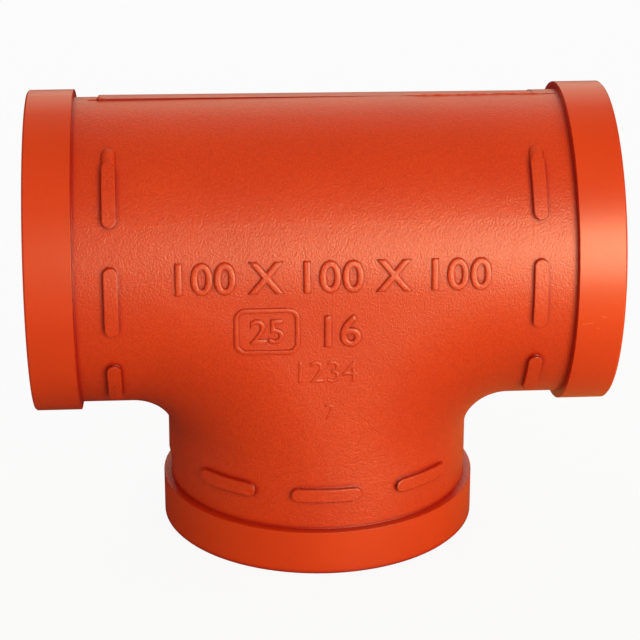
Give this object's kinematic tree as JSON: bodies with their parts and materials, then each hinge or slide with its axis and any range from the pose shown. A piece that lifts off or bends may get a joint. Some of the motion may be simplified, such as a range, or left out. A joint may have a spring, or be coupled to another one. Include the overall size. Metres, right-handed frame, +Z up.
{
  "type": "grooved pipe tee",
  "caption": "Painted cast tee that joins pipes with clamp-on couplings: grooved collars of one size, swept webs, raised stop bars behind each groove.",
  "frame": {"origin": "centre of the branch end face, on which the tee stands", "axes": "+X along the run, +Y from front to back, +Z up along the branch towards the run"},
  "size_m": [0.2036, 0.1142, 0.1603],
  "materials": {
    "casting_paint": "satin"
  },
  "bodies": {
    "root": {"tee_casting": "casting_paint"}
  },
  "joints": []
}
